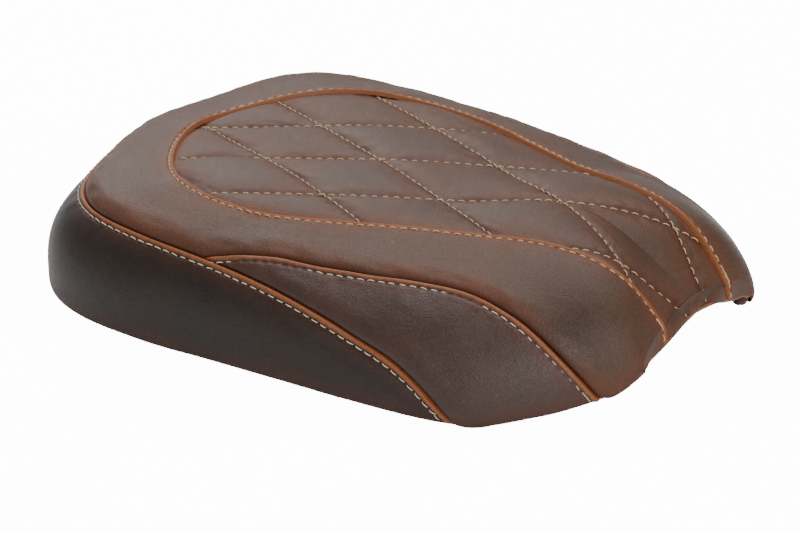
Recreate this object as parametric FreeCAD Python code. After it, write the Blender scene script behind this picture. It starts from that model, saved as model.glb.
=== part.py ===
import FreeCAD, Part
import math
import os

# Solo seat for a motorcycle: a stitched leather cover over moulded foam on a rigid base pan,
# with the fittings that hold the pan to the frame.
# +X points to the front, +Y to the rider's left, +Z up. The origin lies on the plane the seat
# stands on, in the middle of the footprint. All sizes are millimetres.
#
# The cover is one smooth surface with two coordinates.
# t runs round the seat: 0 at the rear centre, 1 at the front edge, 2 at the end of the front roll,
# negative on the rider's right.
# p runs down the seat: 0 on the centreline, 1 at the widest line, 2 at the bottom edge.

Vector = FreeCAD.Vector

# Widest line of the cover, at even steps of t from 0 to 1
OUTLINE = [(-207.8, 0.0), (-194.8, 72.5), (-149.3, 137.5), (-27.3, 145.5),
           (82.2, 140.0), (147.7, 122.0), (195.0, 78.0), (207.0, 61.0)]
SPINE_REAR = -121.3
SPINE_FRONT = 199.2
SPINE_EASE = 0.52
# Height of the crown along the centreline
CROWN = [(-142.8, 72.0), (-74.3, 77.5), (-6.3, 83.5), (62.2, 85.5), (130.7, 86.5), (199.2, 50.0)]
# Exponents of the cross-section, at t = 0, 1/3, 2/3 and 1
SECTION_WIDE = [4.3, 4.1, 3.2, 2.45]
SECTION_HIGH = [2.85, 3.1, 1.8, 1.95]
WING_START = 0.70
WING_RISE = 27.5
BELT_SHARE = 0.12
BOTTOM_TUCK = 5.5
ROLL_LENGTH = 10.0
ROLL_START = math.radians(32.0)
REAR_SLOPE_TO = 0.4
ROLL_TO = 0.65
EDGE_DROP = 9.0
TIP_CURL = 1.5
CURL_FROM = 0.6

# Panel edges: outline of the quilted insert, then seam heights as (t, z)
INSERT_OUTLINE = [(-148.3, 0.0), (-134.3, 42.0), (-100.3, 80.0), (-45.3, 92.5),
                  (12.7, 81.0), (77.7, 58.5), (147.7, 43.5), (222.7, 30.0)]
BAND_SEAM = [(0.0, 57.0), (0.15, 60.0), (0.29, 62.5), (0.39, 60.5), (0.49, 50.5),
             (0.54, 41.5), (0.60, 28.0), (0.665, 0.0)]
GUSSET_SEAM = [(0.40, 59.5), (0.43, 64.5), (0.49, 67.5), (0.60, 69.0), (0.69, 66.0),
               (0.75, 56.5), (0.80, 37.0), (0.847, 14.0)]
BAND_END = 0.660
GUSSET_START = 0.405
GUSSET_END = 0.847
PANEL_FOOT = 1.85
TIP = 0.15

# Thicknesses
LEATHER = 2.0
BACKING = 4.0
GAP = 0.4
FOAM_GAP = 1.0
PAN_WALL = 3.0

# Base pan: height of its side wall, crown height along the centreline, section exponents
PAN_SIDE = 18.0
PAN_SIDE_SHARE = 0.35
PAN_CROWN = [(-121.3, 19.0), (-62.3, 19.0), (57.7, 20.0), (127.7, 28.0), (199.2, 44.0)]
PAN_TOP_POWER = (6.0, 3.5)
PAN_FRONT_POWER = (1.6, 1.5)
PAN_FRONT = 0.985
PAN_FOOT = 1.80
ARCH_FROM = 0.72
ARCH_POWER = (1.15, 1.15)
FRONT_SIDE = 1.5

# Hem of the cover: turned under the rim and up the inside of the pan
HEM_RISE = 13.0
HEM_RUN = 4.4
HEM_FRONT = 0.95
HEM_LEATHER = 1.5
STAPLE_PITCH = 21.0
STAPLE = (10.0, 1.3, 0.7)

# Stitching
STITCH_PITCH = 6.4
STITCH_SHARE = 0.75
THREAD_RADIUS = 0.45
TOPSTITCH = 4.5
DIAMOND_HALF_LENGTH = 63.8
DIAMOND_HALF_WIDTH = 29.0
DIAMOND_X = -14.8

# Fittings under the pan
INSERT_X = -118.0
INSERT_Y = 45.0
INSERT_BORE = 3.4
INSERT_BODY = 5.5
INSERT_LENGTH = 12.0
BOSS_RADIUS = 9.0
BOSS_FOOT = 5.0
RIB_Y = 24.0
RIB_X = -95.0
RIB_LENGTH = 190.0
RIB_WIDTH = 3.0
RIB_FOOT = 8.0
BUMPERS = {"rear": (-70.0, 92.0), "front": (62.0, 92.0)}
BUMPER_RADIUS = 10.0
BUMPER_STEM = 4.0
BUMPER_TOP = 15.5
BUMPER_EDGE = 1.2
KEEPER_X = 150.0
KEEPER_LENGTH = 24.0
KEEPER_SLOT = (34.0, 6.0)
KEEPER_FOOT = 16.0
KEEPER_STEEL = 2.5
RIVET_RADIUS = 2.4
RIVET_HEAD = 4.5
RIVET_HEAD_HEIGHT = 1.2
RIVET_GRIP = 5.0
PAD_WIDTH = 76.0
PAD_FOOT = 22.0


def spline(knots):
    """Natural cubic spline through (position, value) knots, as a function of position."""
    at = [float(k[0]) for k in knots]
    values = [float(k[1]) for k in knots]
    last = len(knots) - 1
    step = [at[i + 1] - at[i] for i in range(last)]
    bend = [0.0] * (last + 1)
    upper = [0.0] * (last + 1)
    for i in range(1, last):
        rise = (values[i + 1] - values[i]) / step[i] - (values[i] - values[i - 1]) / step[i - 1]
        pivot = 2.0 * (step[i - 1] + step[i]) - step[i - 1] * upper[i - 1]
        upper[i] = step[i] / pivot
        bend[i] = (6.0 * rise - step[i - 1] * bend[i - 1]) / pivot
    for i in range(last - 1, 0, -1):
        bend[i] -= upper[i] * bend[i + 1]

    def value(x):
        i = 0
        while i < last - 1 and x > at[i + 1]:
            i += 1
        h = step[i]
        a = (at[i + 1] - x) / h
        b = (x - at[i]) / h
        cubic = (a ** 3 - a) * bend[i] + (b ** 3 - b) * bend[i + 1]
        return a * values[i] + b * values[i + 1] + cubic * h * h / 6.0

    return value


def half_loop(points):
    """Smooth closed-ended curve through points at even steps, mirrored across the centreline."""
    last = len(points) - 1
    steps = range(-last, last + 1)
    along = spline([(i / last, points[abs(i)][0]) for i in steps])
    across = spline([(i / last, math.copysign(points[abs(i)][1], i)) for i in steps])
    return lambda t: (along(t), across(t))


def even(values):
    """Spline through values at even steps from 0 to 1."""
    last = len(values) - 1
    return spline([(i / last, value) for i, value in enumerate(values)])


def mirrored(knots):
    """The same knots on both sides of zero."""
    return [(-k[0], k[1]) for k in reversed(knots[1:])] + knots


def clamp(x, low, high):
    return max(low, min(high, x))


def ease(x):
    """Smooth step from 0 to 1."""
    x = clamp(x, 0.0, 1.0)
    return x * x * (3.0 - 2.0 * x)


def mix(a, b, share):
    return a + (b - a) * share


belt = half_loop(OUTLINE)
insert_edge = half_loop(INSERT_OUTLINE)
crown = spline(CROWN)
wide_power = even(SECTION_WIDE)
high_power = even(SECTION_HIGH)
band_seam = spline(mirrored(BAND_SEAM))
gusset_seam = spline(GUSSET_SEAM)
pan_crown = spline(PAN_CROWN)


def spine(t):
    share = t * (1.0 - SPINE_EASE) + SPINE_EASE * t * t
    return mix(SPINE_REAR, SPINE_FRONT, share)


def bottom(t):
    """Height of the bottom edge: on the floor at the rear, rising under the front wings."""
    return WING_RISE * clamp((abs(t) - WING_START) / (1.0 - WING_START), 0.0, 1.0)


def belt_height(t):
    return mix(bottom(t), crown(spine(t)), BELT_SHARE)


def top_height(t, share):
    """Height of the top before its rounded shoulder; at the rear it keeps the crown's slope."""
    sx = spine(t)
    slope = (crown(sx + 1.0) - crown(sx - 1.0)) / 2.0 * (1.0 - ease(t / REAR_SLOPE_TO))
    return crown(sx) + slope * (belt(t)[0] - sx) * share


def body_point(t, p):
    """Point of the cover for 0 <= t <= 1 and 0 <= p <= 2."""
    bx, by = belt(t)
    sx = spine(t)
    low = bottom(t)
    side = belt_height(t)
    angle = clamp(p, 0.0, 1.0) * math.pi / 2
    share = math.sin(angle) ** (2.0 / wide_power(t))
    top = top_height(t, share)
    rise = max(math.cos(angle), 0.0) ** (2.0 / high_power(t))
    tuck = clamp(p - 1.0, 0.0, 1.0) * math.pi / 2
    reach = math.hypot(bx - sx, by)
    share -= BOTTOM_TUCK * (1.0 - math.cos(tuck)) / reach
    z = mix(side, top, rise) if p <= 1.0 else mix(side, low, math.sin(tuck))
    return Vector(mix(sx, bx, share), by * share, z)


def roll_angle(p):
    """Slope of the cover at the front edge, below the horizontal."""
    return mix(ROLL_START, math.pi / 2, ease(p / ROLL_TO))


def front_roll(p, share):
    """Offset along the front roll, which turns ever faster towards straight down."""
    start = roll_angle(p)
    offset = Vector()
    parts = 6
    for i in range(parts):
        turn = mix(start, math.pi / 2, (share * (i + 0.5) / parts) ** 1.5)
        offset += Vector(math.cos(turn), 0.0, -math.sin(turn)) * (ROLL_LENGTH * share / parts)
    return offset * (1.0 - ease((p - 0.2) / 0.45))


def edge_drop(p):
    """How far the front edge hangs below its roll, most between the centre and the wing tip."""
    return EDGE_DROP * ease((p - 0.15) / 0.4) * (1.0 - ease((p - 0.65) / 0.35))


def cover_point(t, p):
    """Point of the cover's outer face, on either side and on the front roll."""
    side = -1.0 if (t < 0) != (p < 0) else 1.0
    t = abs(t)
    p = abs(p)
    point = body_point(min(t, 1.0), p)
    if t > 1.0:
        point += front_roll(p, t - 1.0)
        point.z -= edge_drop(p) * (t - 1.0)
        heading = body_point(1.0, 1.0) - body_point(0.99, 1.0)
        heading.z = 0.0
        heading.normalize()
        point += heading * (TIP_CURL * (t - 1.0) * ease((p - CURL_FROM) / (1.0 - CURL_FROM)))
    point.y *= side
    return point


def skin(t, p, depth=0.0):
    """Point depth millimetres below the cover's outer face."""
    point = cover_point(t, p)
    if depth == 0.0:
        return point
    h = 2e-3
    tt = math.copysign(clamp(abs(t), 0.01, 2.0 - h), t)
    pp = clamp(p, 0.02, 2.0 - h)
    around = cover_point(tt + h, pp) - cover_point(tt - h, pp)
    down = cover_point(tt, pp + h) - cover_point(tt, pp - h)
    normal = around.cross(down)
    if p == 0.0 or t == 0.0:
        normal.y = 0.0
    normal.normalize()
    return point - normal * depth


def p_at_share(t, share):
    """p of the point at a given share of the way from the centreline to the widest line."""
    t = min(abs(t), 1.0)
    return math.asin(clamp(share, 0.0, 1.0) ** (wide_power(t) / 2.0)) * 2 / math.pi


def p_at_height(t, z):
    """p of the point of the side at height z."""
    t = min(abs(t), 1.0)
    side = belt_height(t)
    if z >= side:
        low, high = 0.0, 1.0
        for _ in range(30):
            middle = (low + high) / 2
            if body_point(t, middle).z > z:
                low = middle
            else:
                high = middle
        return low
    return 1.0 + math.asin(clamp((side - z) / (side - bottom(t)), 0.0, 1.0)) * 2 / math.pi


def insert_share(t):
    """Share of the way to the widest line where the quilted insert ends."""
    t = min(abs(t), 1.0)
    bx, by = belt(t)
    sx = spine(t)

    def beyond(s):
        x, y = insert_edge(s)
        return (bx - sx) * y - by * (x - sx)

    low, high = 0.0, 1.0
    for _ in range(40):
        middle = (low + high) / 2
        if beyond(middle) < 0.0:
            high = middle
        else:
            low = middle
    x, y = insert_edge(low)
    return math.hypot(x - sx, y) / math.hypot(bx - sx, by)


def seam_p(seam, t):
    """p of a seam at t, kept on the cover above the panel foot."""
    t = abs(t)
    return min(p_at_height(t, max(seam(t), bottom(t))), PANEL_FOOT)


def surround_foot(t):
    """Lower edge of the top surround: the band seam, then the gusset seam, then the bottom edge."""
    t = min(abs(t), 1.0)
    if t < GUSSET_START:
        return seam_p(band_seam, t)
    if t < GUSSET_END:
        return seam_p(gusset_seam, t)
    return PANEL_FOOT


# --- Solids from surfaces -------------------------------------------------------------------

def surface(points):
    """Smooth surface with a grid of points as its control net."""
    degree = [min(3, len(points) - 1), min(3, len(points[0]) - 1)]
    knots = []
    counts = []
    for size, power in ((len(points), degree[0]), (len(points[0]), degree[1])):
        spans = size - power
        knots.append([float(i) for i in range(spans + 1)])
        counts.append([power + 1] + [1] * (spans - 1) + [power + 1])
    sheet = Part.BSplineSurface()
    sheet.buildFromPolesMultsKnots(points, counts[0], counts[1], knots[0], knots[1],
                                   False, False, degree[0], degree[1])
    return sheet


def edges(sheet):
    """The four boundary curves of a surface, by side."""
    u0, u1, v0, v1 = sheet.bounds()
    return {"start": sheet.uIso(u0), "end": sheet.uIso(u1),
            "inner": sheet.vIso(v0), "foot": sheet.vIso(v1)}


def layer(grids, walls):
    """Closed solid between pairs of point grids, with ruled walls on the named sides of each."""
    faces = []
    for (outer, inner), sides in zip(grids, walls):
        upper = surface(outer)
        lower = surface(inner)
        faces += [upper.toShape(), lower.toShape()]
        above = edges(upper)
        below = edges(lower)
        for side in sides:
            faces.append(Part.makeRuledSurface(above[side].toShape(), below[side].toShape()))
    return closed(faces)


def closed(faces):
    shell = Part.Shell(faces)
    shell.sewShape()
    solid = Part.Solid(shell)
    if solid.Volume < 0:
        solid.reverse()
    return solid


def whole(shape):
    """The single solid left by a cut or a join."""
    if len(shape.Solids) != 1:
        raise ValueError("expected one solid, got %d" % len(shape.Solids))
    return shape.Solids[0]


def steps(low, high, count):
    return [mix(low, high, i / (count - 1)) for i in range(count)]


def lookup(table, value):
    """Second column of a rising table at a value of the first, or None outside it."""
    for (a0, b0), (a1, b1) in zip(table, table[1:]):
        if a0 <= value <= a1:
            return mix(b0, b1, (value - a0) / (a1 - a0))
    return None


def evenly_down(t, start, foot, count):
    """Values of p at even distances down the section at t."""
    ps = steps(start, foot, 3 * count)
    table = [(0.0, start)]
    for upper, lower in zip(ps, ps[1:]):
        run = (cover_point(t, lower) - cover_point(t, upper)).Length
        table.append((table[-1][0] + run, lower))
    return [lookup(table, table[-1][0] * k) for k in steps(0.0, 1.0, count)]


def grid(ts, ps_at, depth):
    """Grid of cover points: one row per t, with the p values that ps_at gives for it."""
    if callable(depth):
        return [[skin(t, p, depth(t, p)) for p in ps_at(t)] for t in ts]
    return [[skin(t, p, depth) for p in ps_at(t)] for t in ts]


def mirror_y(shape):
    return shape.mirror(Vector(0, 0, 0), Vector(0, 1, 0))


BODY_STEPS = steps(0.0, 1.0, 37)
ROLL_STEPS = [1.3, 1.65, 2.0]
HALF_STEPS = BODY_STEPS + ROLL_STEPS


# --- Cover panels ---------------------------------------------------------------------------

def insert_ps(t, reach=1.0):
    edge = insert_share(t) * reach
    return [math.copysign(p_at_share(t, edge * k), k) for k in steps(0.0, 1.0, 9)]


def centre_sheet(ts, ps_at, outer, inner):
    """Closed sheet across the centreline, made as two halves that share it."""
    grids = []
    for side in (1.0, -1.0):
        rows = [[Vector(v.x, v.y * side, v.z) for v in row] for row in grid(ts, ps_at, outer)]
        under = [[Vector(v.x, v.y * side, v.z) for v in row] for row in grid(ts, ps_at, inner)]
        grids.append((rows, under))
    return layer(grids, [("end", "foot")] * 2)


def quilted_insert():
    return centre_sheet(HALF_STEPS, insert_ps, 0.0, LEATHER)


def quilt_backing():
    narrow = lambda t: insert_ps(t, 0.96)
    return centre_sheet(BODY_STEPS[:-1], narrow, LEATHER, LEATHER + BACKING)


def top_surround():
    middle = steps(-GUSSET_END, GUSSET_END, 61)
    wing = steps(GUSSET_END, 1.0, 7)[1:] + ROLL_STEPS
    ts = [-t for t in reversed(wing)] + middle + wing

    def ps_at(t):
        return evenly_down(t, p_at_share(t, insert_share(t)), surround_foot(t), 14)

    sides = ("start", "end", "inner", "foot")
    return layer([(grid(ts, ps_at, 0.0), grid(ts, ps_at, LEATHER))], [sides])


def rear_band():
    ts = steps(-BAND_END, BAND_END, 61)

    def ps_at(t):
        top = min(seam_p(band_seam, t), PANEL_FOOT - TIP)
        return evenly_down(t, top, PANEL_FOOT, 9)

    sides = ("start", "end", "inner", "foot")
    return layer([(grid(ts, ps_at, 0.0), grid(ts, ps_at, LEATHER))], [sides])


def gusset_grid(depth):
    """Grid from the point where the two seams meet, along the seams, to the bottom edge."""
    rows = []
    for k in steps(0.0, 1.0, 21):
        low_t = mix(GUSSET_START, BAND_END + 0.003, k)
        high_t = mix(GUSSET_START, GUSSET_END, k)
        low_p = seam_p(band_seam, low_t)
        high_p = seam_p(gusset_seam, high_t)
        rows.append([skin(mix(high_t, low_t, j), mix(high_p, low_p, j), depth)
                     for j in steps(0.0, 1.0, 11)])
    return rows


def gusset():
    """The left gusset; the right one is its mirror image."""
    sides = ("start", "end", "inner", "foot")
    return layer([(gusset_grid(0.0), gusset_grid(LEATHER))], [sides])


# --- Base pan and foam ----------------------------------------------------------------------

def pan_side(t):
    return min(PAN_SIDE, PAN_SIDE_SHARE * (crown(spine(t)) - bottom(t)))


def inward(t):
    """Level direction from the side wall towards the inside of the seat."""
    direction = skin(t, 1.0, 1.0) - skin(t, 1.0)
    direction.z = 0.0
    return direction.normalize()


def pan_wall_point(t, p, inset):
    """Point of the pan's side wall: against the leather, or a wall thickness further in."""
    return skin(t, p, LEATHER + GAP) + inward(t) * inset


def pan_rows(t, drop, inset, powers, side):
    """Points of the pan from the centreline out and down the side wall, for one t."""
    start_p = p_at_height(t, bottom(t) + side)
    shoulder = pan_wall_point(t, start_p, inset)
    sx = spine(t)
    top = pan_crown(sx) - drop
    row = []
    for k in steps(0.0, 1.0, 11):
        share = math.sin(k * math.pi / 2) ** (2.0 / powers[0])
        rise = max(math.cos(k * math.pi / 2), 0.0) ** (2.0 / powers[1])
        row.append(Vector(mix(sx, shoulder.x, share), shoulder.y * share, mix(shoulder.z, top, rise)))
    wall = [pan_wall_point(t, mix(start_p, PAN_FOOT, k), inset) for k in (0.35, 0.7, 1.0)]
    return row, wall


def pan_powers(t, front):
    share = ease((t - ARCH_FROM) / (1.0 - ARCH_FROM))
    return [mix(a, b, share) for a, b in zip(PAN_TOP_POWER, front)]


def pan_upper_row(t):
    row, wall = pan_rows(t, 0.0, 0.0, pan_powers(t, PAN_FRONT_POWER), pan_side(t))
    return row + wall


def pan_under_row(t):
    side = mix(pan_side(t) - PAN_WALL, FRONT_SIDE, ease((t - 0.85) / 0.15))
    row, wall = pan_rows(t, PAN_WALL, PAN_WALL, pan_powers(t, ARCH_POWER), side)
    return row + wall


def both_sides(outer, inner):
    """Left and right pairs of grids made from the left one."""
    def flip(rows):
        return [[Vector(v.x, -v.y, v.z) for v in row] for row in rows]
    return [(outer, inner), (flip(outer), flip(inner))]


PAN_STEPS = steps(0.0, PAN_FRONT, 31)


def pan_shell():
    upper = [pan_upper_row(t) for t in PAN_STEPS]
    under = [pan_under_row(t) for t in PAN_STEPS]
    return layer(both_sides(upper, under), [("end", "foot")] * 2)


def base_pan():
    pan = pan_shell()
    for y in (INSERT_Y, -INSERT_Y):
        boss = Part.makeCylinder(BOSS_RADIUS, PAN_SIDE - BOSS_FOOT, Vector(INSERT_X, y, BOSS_FOOT))
        pan = pan.fuse(boss)
    pad = Part.makeBox(KEEPER_LENGTH + 8.0, PAD_WIDTH, pan_crown(KEEPER_X) - 2.0 - PAD_FOOT,
                       Vector(KEEPER_X - KEEPER_LENGTH / 2 - 4.0, -PAD_WIDTH / 2, PAD_FOOT))
    pan = pan.fuse(pad)
    for y in (RIB_Y, -RIB_Y):
        rib = Part.makeBox(RIB_LENGTH, RIB_WIDTH, PAN_SIDE - RIB_FOOT,
                           Vector(RIB_X, y - RIB_WIDTH / 2, RIB_FOOT))
        pan = pan.fuse(rib)
    for y in (INSERT_Y, -INSERT_Y):
        pan = pan.cut(Part.makeCylinder(INSERT_BODY, INSERT_LENGTH, Vector(INSERT_X, y, BOSS_FOOT)))
    for x, y in bumper_places():
        pan = pan.cut(Part.makeCylinder(BUMPER_STEM, PAN_SIDE, Vector(x, y, BUMPER_TOP - 1.0)))
    for x, y in rivet_places():
        pan = pan.cut(Part.makeCylinder(RIVET_RADIUS, RIVET_GRIP, Vector(x, y, PAD_FOOT)))
    return whole(pan)


def foam_depth(t, p):
    """The foam steps down under the insert to leave room for the quilt backing."""
    shallow = LEATHER + FOAM_GAP
    return shallow + BACKING if p < p_at_share(t, insert_share(t) * 0.99) else shallow


def foam_ps(t):
    edge = insert_share(t)
    inside = [p_at_share(t, edge * 0.975 * k) for k in steps(0.0, 1.0, 9)]
    start = p_at_share(t, edge * 1.03)
    foot = p_at_height(t, bottom(t) + pan_side(t) + 3 * GAP)
    return inside + [mix(start, foot, k) for k in steps(0.0, 1.0, 9)]


def foam_cushion():
    ts = steps(0.0, 1.0, 37)
    upper = grid(ts, foam_ps, foam_depth)
    lift = Vector(0, 0, 2 * GAP)
    under = []
    for t in ts:
        row, _ = pan_rows(t, 0.0, 0.0, pan_powers(t, PAN_FRONT_POWER), pan_side(t))
        under.append([point + lift for point in row])
    foam = layer(both_sides(upper, under), [("end", "foot")] * 2)
    for x, y in bumper_places():
        foam = foam.cut(Part.makeCylinder(BUMPER_STEM + 4.0, 6.0, Vector(x, y, BUMPER_TOP)))
    return whole(foam)


# --- Hem ------------------------------------------------------------------------------------

def hem_rows(t):
    """Outer and inner face of the turned-under hem, for one t."""
    level = bottom(t)
    edge = skin(t, 2.0)
    step_in = inward(t)

    def at(inset, z):
        return Vector(edge.x, edge.y, level + z) + step_in * inset

    outer = [skin(t, PANEL_FOOT), skin(t, 1.92), edge, at(HEM_RUN - 1.0, 0.0), at(HEM_RUN, 0.4),
             at(HEM_RUN + 0.4, 1.4), at(HEM_RUN + 0.4, HEM_RISE / 2), at(HEM_RUN + 0.4, HEM_RISE)]
    leg = HEM_RUN + 0.4 - HEM_LEATHER
    inner = [skin(t, PANEL_FOOT, LEATHER), skin(t, 1.92, LEATHER), at(0.0, LEATHER),
             at(leg - 1.2, LEATHER), at(leg - 0.3, LEATHER + 0.3), at(leg, LEATHER + 1.2),
             at(leg, HEM_RISE / 2), at(leg, HEM_RISE)]
    return outer, inner


def hem_binding():
    rows = [hem_rows(t) for t in steps(-HEM_FRONT, HEM_FRONT, 81)]
    sides = ("start", "end", "inner", "foot")
    return layer([([row[0] for row in rows], [row[1] for row in rows])], [sides])


def bar_along(centre, heading, size):
    """Box of the given length, width and height, its length along a level heading."""
    length, width, height = size
    box = Part.makeBox(length, width, height, Vector(-length / 2, -width / 2, -height / 2))
    box.rotate(Vector(), Vector(0, 0, 1), math.degrees(math.atan2(heading.y, heading.x)))
    box.translate(centre)
    return box


def walk(path, pitch):
    """Points at an even pitch along a list of points, each with its heading."""
    places = []
    carried = pitch / 2
    for a, b in zip(path, path[1:]):
        length = (b - a).Length
        if length == 0.0:
            continue
        heading = (b - a) * (1.0 / length)
        while carried <= length:
            places.append((a + heading * carried, heading))
            carried += pitch
        carried -= length
    return places


def hem_staples():
    path = []
    for t in steps(-0.97, 0.97, 161):
        edge = skin(t, 2.0)
        lift = Vector(0, 0, bottom(t) - edge.z + HEM_RISE * 0.6)
        path.append(edge + lift + inward(t) * (HEM_RUN + 0.4 + STAPLE[1] / 2))
    size = (STAPLE[0], STAPLE[1], STAPLE[2])
    return Part.Compound([bar_along(at, heading, size) for at, heading in walk(path, STAPLE_PITCH)])


# --- Stitching ------------------------------------------------------------------------------

def stitches(path):
    """A row of short thread lengths lying on the leather along a path."""
    length = STITCH_PITCH * STITCH_SHARE
    return [Part.makeCylinder(THREAD_RADIUS, length, at - heading * (length / 2), heading)
            for at, heading in walk(path, STITCH_PITCH)]


def on_top(t, p):
    return skin(t, p, -THREAD_RADIUS - 0.05)


def shifted_p(t, p, distance):
    """p of the point a given distance further down the surface."""
    h = 0.01
    run = (skin(t, p + h) - skin(t, p - h)).Length
    return p + distance * 2 * h / run


def insert_topstitch():
    """Row of stitches on the surround, just outside the insert."""
    path = []
    for t in steps(-1.9, 1.9, 241):
        p = p_at_share(t, insert_share(t))
        path.append(on_top(t, shifted_p(t, p, TOPSTITCH)))
    return Part.Compound(stitches(path))


def band_topstitch():
    """Row of stitches on the rear band, just below its seam."""
    ts = steps(-BAND_END + 0.012, BAND_END - 0.012, 241)
    path = [on_top(t, min(shifted_p(t, seam_p(band_seam, t), TOPSTITCH), 1.9)) for t in ts]
    return Part.Compound(stitches(path))


def gusset_topstitch():
    """Row of stitches on the left gusset, just below its upper seam."""
    ts = steps(GUSSET_START + 0.03, GUSSET_END - 0.01, 121)
    path = [on_top(t, min(shifted_p(t, seam_p(gusset_seam, t), TOPSTITCH), 1.9)) for t in ts]
    return Part.Compound(stitches(path))


def centreline():
    """Points of the crown from rear to front, with their distance along it."""
    xs = steps(INSERT_OUTLINE[0][0], SPINE_FRONT, 181)
    points = []
    along = 0.0
    for i, x in enumerate(xs):
        if i:
            along += math.hypot(x - xs[i - 1], crown(x) - crown(xs[i - 1]))
        points.append((along, x))
    return points


def t_at_plan(x, y):
    """t of the section line through a point of the plan, y not negative."""
    low, high = 0.0, 1.0
    for _ in range(40):
        middle = (low + high) / 2
        bx, by = belt(middle)
        sx = spine(middle)
        if (bx - sx) * y - by * (x - sx) < 0.0:
            low = middle
        else:
            high = middle
    return low


def quilt_point(x, y):
    """Point on the insert above a plan position, or None outside the insert."""
    t = t_at_plan(x, abs(y))
    bx, by = belt(t)
    sx = spine(t)
    share = math.hypot(x - sx, y) / math.hypot(bx - sx, by)
    if share > insert_share(t) * 0.97:
        return None
    return on_top(math.copysign(max(t, 1e-6), y), p_at_share(t, share))


def quilting_thread():
    """Two families of crossing diagonal rows that make the diamonds."""
    table = centreline()
    origin = lookup([(x, along) for along, x in table], DIAMOND_X)
    rows = []
    for slope in (1.0, -1.0):
        for line in range(-8, 9):
            path = []
            for j in steps(-4.0, 4.0, 321):
                x = lookup(table, origin + (2 * line + slope * j) * DIAMOND_HALF_LENGTH)
                point = None if x is None else quilt_point(x, j * DIAMOND_HALF_WIDTH)
                if point is not None:
                    path.append(point)
            rows += stitches(path)
    return Part.Compound(rows)


# --- Fittings under the pan -----------------------------------------------------------------

def bumper_places():
    return [(x, side * y) for x, y in BUMPERS.values() for side in (1.0, -1.0)]


def bumper(x, y):
    """Rubber foot with a stem pressed up into the pan."""
    foot = Part.makeCylinder(BUMPER_RADIUS, BUMPER_TOP, Vector(x, y, 0.0))
    stem = Part.makeCylinder(BUMPER_STEM, PAN_WALL + 2.0, Vector(x, y, BUMPER_TOP - 0.5))
    rim = [edge for edge in foot.Edges if abs(edge.CenterOfMass.z) < 0.01]
    return whole(foot.makeChamfer(BUMPER_EDGE, rim).fuse(stem).removeSplitter())


def threaded_insert(y):
    """Brass sleeve moulded into a boss of the pan; its thread is a plain bore."""
    body = Part.makeCylinder(INSERT_BODY, INSERT_LENGTH, Vector(INSERT_X, y, BOSS_FOOT))
    bore = Part.makeCylinder(INSERT_BORE, INSERT_LENGTH, Vector(INSERT_X, y, BOSS_FOOT))
    return whole(body.cut(bore))


def rivet_places():
    reach = (KEEPER_SLOT[0] + KEEPER_FOOT) / 2 + KEEPER_STEEL / 2
    return [(KEEPER_X + dx, side * reach) for dx in (-6.0, 6.0) for side in (1.0, -1.0)]


def front_keeper():
    """Hat-shaped steel strap: a tongue on the frame slides into the slot above it."""
    slot_w, slot_h = KEEPER_SLOT
    s = KEEPER_STEEL
    half = slot_w / 2
    outer = half + s + KEEPER_FOOT
    profile = [(-outer, 0), (-half, 0), (-half, -slot_h), (half, -slot_h), (half, 0), (outer, 0),
               (outer, -s), (half + s, -s), (half + s, -slot_h - s), (-half - s, -slot_h - s),
               (-half - s, -s), (-outer, -s)]
    points = [Vector(KEEPER_X - KEEPER_LENGTH / 2, y, PAD_FOOT + z) for y, z in profile]
    strap = Part.Face(Part.makePolygon(points + points[:1])).extrude(Vector(KEEPER_LENGTH, 0, 0))
    for x, y in rivet_places():
        strap = strap.cut(Part.makeCylinder(RIVET_RADIUS, s, Vector(x, y, PAD_FOOT - s)))
    return whole(strap)


def keeper_rivets():
    rivets = []
    for x, y in rivet_places():
        shank = Part.makeCylinder(RIVET_RADIUS, RIVET_GRIP + KEEPER_STEEL,
                                  Vector(x, y, PAD_FOOT - KEEPER_STEEL))
        head = Part.makeCylinder(RIVET_HEAD, RIVET_HEAD_HEIGHT,
                                 Vector(x, y, PAD_FOOT - KEEPER_STEEL - RIVET_HEAD_HEIGHT))
        rivets.append(whole(shank.fuse(head).removeSplitter()))
    return Part.Compound(rivets)


# --- Nodes ----------------------------------------------------------------------------------

def nodes():
    """Every piece of the seat by its node name."""
    left_gusset = gusset()
    left_stitches = gusset_topstitch()
    made = {
        "quilted_insert": quilted_insert(),
        "quilt_backing": quilt_backing(),
        "quilting_thread": quilting_thread(),
        "top_surround": top_surround(),
        "insert_topstitch": insert_topstitch(),
        "rear_band": rear_band(),
        "band_topstitch": band_topstitch(),
        "gusset_left": left_gusset,
        "gusset_right": mirror_y(left_gusset),
        "gusset_topstitch_left": left_stitches,
        "gusset_topstitch_right": mirror_y(left_stitches),
        "hem_binding": hem_binding(),
        "hem_staples": hem_staples(),
        "foam_cushion": foam_cushion(),
        "base_pan": base_pan(),
        "threaded_insert_left": threaded_insert(INSERT_Y),
        "threaded_insert_right": threaded_insert(-INSERT_Y),
        "front_keeper": front_keeper(),
        "keeper_rivets": keeper_rivets(),
    }
    for place, (x, y) in BUMPERS.items():
        made["bumper_%s_left" % place] = bumper(x, y)
        made["bumper_%s_right" % place] = bumper(x, -y)
    return made


def main():
    os.makedirs("parts", exist_ok=True)
    for name, shape in nodes().items():
        shape.exportStep("parts/%s.step" % name)
        print("%-24s %-9s %10.0f mm3  valid %s" % (name, shape.ShapeType, shape.Volume, shape.isValid()))


main()
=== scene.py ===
import math
import bpy
import numpy as np
from mathutils import Matrix, Vector
from mathutils.kdtree import KDTree


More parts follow.
